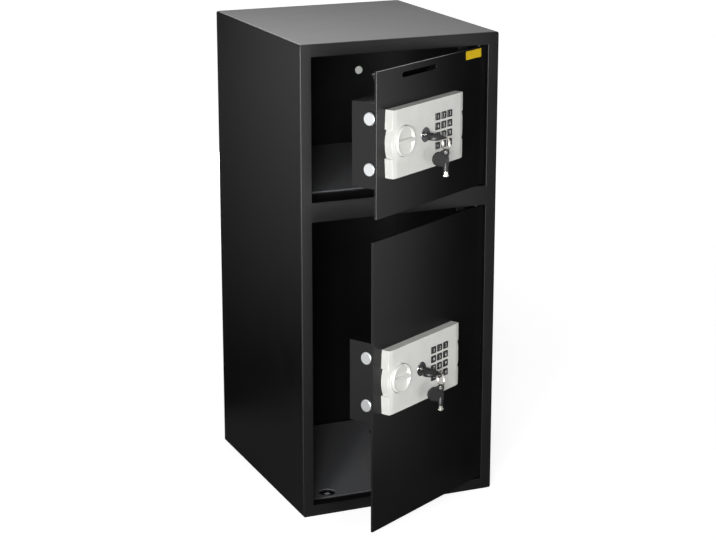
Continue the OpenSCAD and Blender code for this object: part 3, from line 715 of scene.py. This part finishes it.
def add_welds(door, face):
    """Welds that hold the case and the hinge's knuckles to the door's back."""
    body = door + "_door"
    back = shifted(face, z=-DOOR_T)
    from_end = 20
    side_y = CASE_Y[0] + 54
    starts = (CASE_X[0] + from_end, CASE_X[1] - from_end - CASE_WELD)
    places = [turned(shifted(back, x, y), 90, "Y") for y in CASE_Y for x in starts]
    places += [turned(shifted(back, x, side_y), -90, "X") for x in CASE_X]
    for k, place in enumerate(places):
        piece("%s_case_weld_%d" % (door, k + 1), bead(CASE_WELD), place, body, "powder_coat")
    places = [turned(shifted(back, HINGE_X + side * KNUCKLE_SIDE, end + 3), -90, "X")
              for end in KNUCKLE_Y[door] for side in (-1, 1)]
    for k, place in enumerate(places):
        piece("%s_knuckle_weld_%d" % (door, k + 1), bead(KNUCKLE_WELD), place, body, "powder_coat")


for door in DOORS:
    face = face_frame(door)
    add_knob(door, face)
    add_keys(door, face)
    add_digits(door, face)
    add_case_trim(door, face)
    add_welds(door, face)

# Blank label near the upper door's hinge
piece("blank_label", slab(rounded_rectangle(LABEL_W, LABEL_H, 1), 0, LABEL_T, 0),
      shifted(face_frame("upper"), *LABEL_AT), "upper_door", "white_plastic", LABEL_VINYL)

# Spot welds round the outside of the back panel: up its two sides, then along its foot and top
spots = [(side * 163, 60 + 85 * n) for side in (-1, 1) for n in range(9)]
spots += [(-108 + 72 * n, z) for n in range(4) for z in (12, 788)]
for k, (x, z) in enumerate(spots):
    place = turned(shifted(Matrix.Scale(MM, 4), x, BACK_Y - SPOT_RIM, z), -90, "X")
    piece("back_spot_weld_%d" % (k + 1), spot_weld(), place, "root", "powder_coat")


# Stage, in metres

# The floor's colour in light and its darker colour in reflections, a painted shade on the cabinet's lower sides,
# and how white it shows near the cabinet and away: near the cabinet it glows to the eye only, a painted shade in
# its reflection there
FLOOR_COLOUR = "#b4b4b4"
FLOOR_PAINTED_DARK_IN_REFLECTIONS = "#404040"
FLOOR_SHOWN = (0.78, 0.9)
FLOOR_REACH = (0.7, 2.5)
# Half the width and depth of the floor that the cabinet hides, where the floor's glow is taken away as a painted
# shadow
PAINTED_SHADOW_UNDER_CABINET = (("X", 0.173), ("Y", 0.198))
SKY_FILL = 0.2

# Lamps: place, target, width and height, and power in watts
SOFTBOXES = {
    "key_softbox": ((-1.9, -2.85, 1.2), (0, 0, 0.5), (0.4, 0.4), 36),
    "camera_softbox": ((-1.4, -3.0, 1.0), (0, 0, 0.5), (0.4, 0.4), 57),
    "fill_softbox": ((0.1, -3.1, 0.7), (0, 0, 0.5), (0.6, 0.6), 17),
    "back_softbox": ((0.5, 2.6, 0.3), (0, 0.2, 0.4), (0.8, 0.6), 14),
}
# Lamps that only show as a sheen
SHEEN_STRIPS = {
    "front_strip": ((0.7, -2.3, 0.15), (0, -0.2, 0.5), (0.8, 0.5), 14),
    "left_strip": ((-0.55, -0.28, 0.37), (0, -0.34, 0.37), (0.35, 0.75), 0.5),
    "edge_strip": ((-1.5, -1.9, 0.5), (0, 0, 0.4), (0.3, 1.0), 140),
}
# Sheets that glow only in reflections, painted reflections: the foot's two ends, the heights of foot and top, the
# axis of the grade with its dark and its bright end, the heights between which it grows with its share at the
# lower one, and its strength
PAINTED_REFLECTION_SHEETS = {
    "left_flag": (((-1.6, 0.35), (-0.19, 0.35)), (0, 1.3), "X", (-0.18, -0.5), (0.1, 0.65, 0.0), 0.65),
    "right_flag": (((0.21, -1.2), (0.21, -0.12)), (0, 0.85), "Y", (-0.27, -0.42), (0.0, 0.6, 0.2), 1.5),
    "back_flag": (((-1.2, 1.6), (2.4, 1.6)), (0.5, 2.2), "X", (1.8, 0.0), (1.25, 1.6, 0.0), 7.5),
}


def seen_rays(tree, path):
    """1 for the rays that show a background: straight to the eye, mirrored or through glass."""
    seen = add(tree, "Math", {0: path.outputs["Is Camera Ray"], 1: path.outputs["Is Glossy Ray"]},
               operation="MAXIMUM")
    seen = add(tree, "Math", {0: seen.outputs[0], 1: path.outputs["Is Transmission Ray"]},
               operation="MAXIMUM")
    return seen.outputs[0]


def floor_finish():
    """Floor that is white to the eye, keeps the shadow and is white in reflections only away from the cabinet. In
    reflections its colour is darker and near the cabinet it doesn't glow, both painted shade; under the cabinet
    its glow is taken away, a painted shadow.
    """
    material, tree, shader, place = finish("studio_floor", FLOOR_COLOUR, 0.95)
    path = add(tree, "LightPath")
    # In reflections the floor takes a darker colour: painted shade on what mirrors it
    colour = add(tree, "Mix", {0: path.outputs["Is Glossy Ray"], 6: srgb(FLOOR_COLOUR),
                               7: srgb(FLOOR_PAINTED_DARK_IN_REFLECTIONS)}, data_type="RGBA")
    tree.links.new(colour.outputs[2], shader.inputs["Base Color"])
    away = add(tree, "VectorMath", {0: place}, operation="LENGTH")
    # Near the cabinet only the eye sees the floor glow, so reflections show it dark there: painted shade
    near = add(tree, "Math", {0: path.outputs["Is Camera Ray"], 1: FLOOR_SHOWN[0]}, operation="MULTIPLY")
    glow = add(tree, "MapRange", {"Value": away.outputs["Value"], "From Min": FLOOR_REACH[0],
                                  "From Max": FLOOR_REACH[1], "To Min": near.outputs[0],
                                  "To Max": FLOOR_SHOWN[1]})
    glow = add(tree, "Math", {0: glow.outputs["Result"], 1: seen_rays(tree, path)}, operation="MULTIPLY")
    # Under the cabinet the floor's glow is taken away: a painted shadow
    out = add(tree, "VectorMath", {0: place}, operation="ABSOLUTE")
    axes = add(tree, "SeparateXYZ", {0: out.outputs["Vector"]})
    beside = [add(tree, "Math", {0: axes.outputs[axis], 1: half}, operation="GREATER_THAN").outputs[0]
              for axis, half in PAINTED_SHADOW_UNDER_CABINET]
    clear = add(tree, "Math", {0: beside[0], 1: beside[1]}, operation="MAXIMUM")
    glow = add(tree, "Math", {0: glow.outputs[0], 1: clear.outputs[0]}, operation="MULTIPLY")
    light = add(tree, "Emission", {"Color": (1, 1, 1, 1), "Strength": glow.outputs[0]})
    both = add(tree, "AddShader", {0: shader.outputs[0], 1: light.outputs[0]})
    tree.links.new(both.outputs[0], tree.nodes["Material Output"].inputs["Surface"])
    return material


def painted_reflection_glow(across, span, rise, bright):
    """Glow of a painted reflection: dark, and graded across and upward to its bright corner."""
    material, tree, shader, place = finish("painted_reflection_glow_sheet", "#0a0a0a", 0.9)
    axes = add(tree, "SeparateXYZ", {0: place})
    side = add(tree, "MapRange", {"Value": axes.outputs[across], "From Min": span[0], "From Max": span[1]})
    high = add(tree, "MapRange", {"Value": axes.outputs["Z"], "From Min": rise[0], "From Max": rise[1],
                                  "To Min": rise[2]})
    both = add(tree, "Math", {0: side.outputs["Result"], 1: high.outputs["Result"]}, operation="MULTIPLY")
    # The graded glow is a painted reflection
    glow = add(tree, "Math", {0: both.outputs[0], 1: bright}, operation="MULTIPLY")
    light = add(tree, "Emission", {"Color": (1, 1, 1, 1), "Strength": glow.outputs[0]})
    tree.links.new(light.outputs[0], tree.nodes["Material Output"].inputs["Surface"])
    return material


def card(name, corners, material):
    """Four-cornered sheet of the stage."""
    mesh = bpy.data.meshes.new(name)
    mesh.from_pydata(corners, [], [(0, 1, 2, 3)])
    mesh.materials.append(material)
    made = bpy.data.objects.new(name, mesh)
    bpy.context.scene.collection.objects.link(made)
    return made


def painted_reflection_sheet(name, foot, heights, across, span, rise, bright):
    """Sheet that only reflections see, glowing with a painted reflection."""
    low, high = heights
    corners = [(*foot[0], low), (*foot[1], low), (*foot[1], high), (*foot[0], high)]
    made = card(name, corners, painted_reflection_glow(across, span, rise, bright))
    made.visible_camera = False
    made.visible_diffuse = False
    made.visible_shadow = False


def lamp(name, place, target, size, power):
    light = bpy.data.lights.new(name, "AREA")
    light.shape = "RECTANGLE"
    light.size, light.size_y = size
    light.energy = power
    made = bpy.data.objects.new(name, light)
    made.location = place
    made.rotation_euler = (Vector(target) - Vector(place)).to_track_quat("-Z", "Y").to_euler()
    made.visible_camera = False
    bpy.context.scene.collection.objects.link(made)
    return made


def sky():
    """World that shows white and lights the object a little from all sides."""
    world = bpy.data.worlds.new("studio")
    bpy.context.scene.world = world
    world.use_nodes = True
    tree = world.node_tree
    background = tree.nodes["Background"]
    seen = seen_rays(tree, add(tree, "LightPath"))
    strength = add(tree, "MapRange", {"Value": seen, "To Min": SKY_FILL, "To Max": 1.0})
    tree.links.new(strength.outputs["Result"], background.inputs["Strength"])
    background.inputs["Color"].default_value = (1, 1, 1, 1)


card("floor", [(-30, -30, 0), (30, -30, 0), (30, 30, 0), (-30, 30, 0)], floor_finish())
sky()
for name, row in SOFTBOXES.items():
    lamp(name, *row)
for name, row in SHEEN_STRIPS.items():
    lamp(name, *row).visible_diffuse = False
# Sheets that glow in reflections only: painted reflections
for name, row in PAINTED_REFLECTION_SHEETS.items():
    painted_reflection_sheet(name, *row)

camera = bpy.data.cameras.new("camera")
camera.lens = CAMERA_LENS
camera.sensor_width = 36
view = bpy.data.objects.new("camera", camera)
view.location = CAMERA_PLACE
view.rotation_euler = (math.pi / 2 - CAMERA_DOWN, 0, -CAMERA_YAW)
bpy.context.scene.collection.objects.link(view)
bpy.context.scene.camera = view
bpy.context.scene.view_settings.view_transform = "Standard"
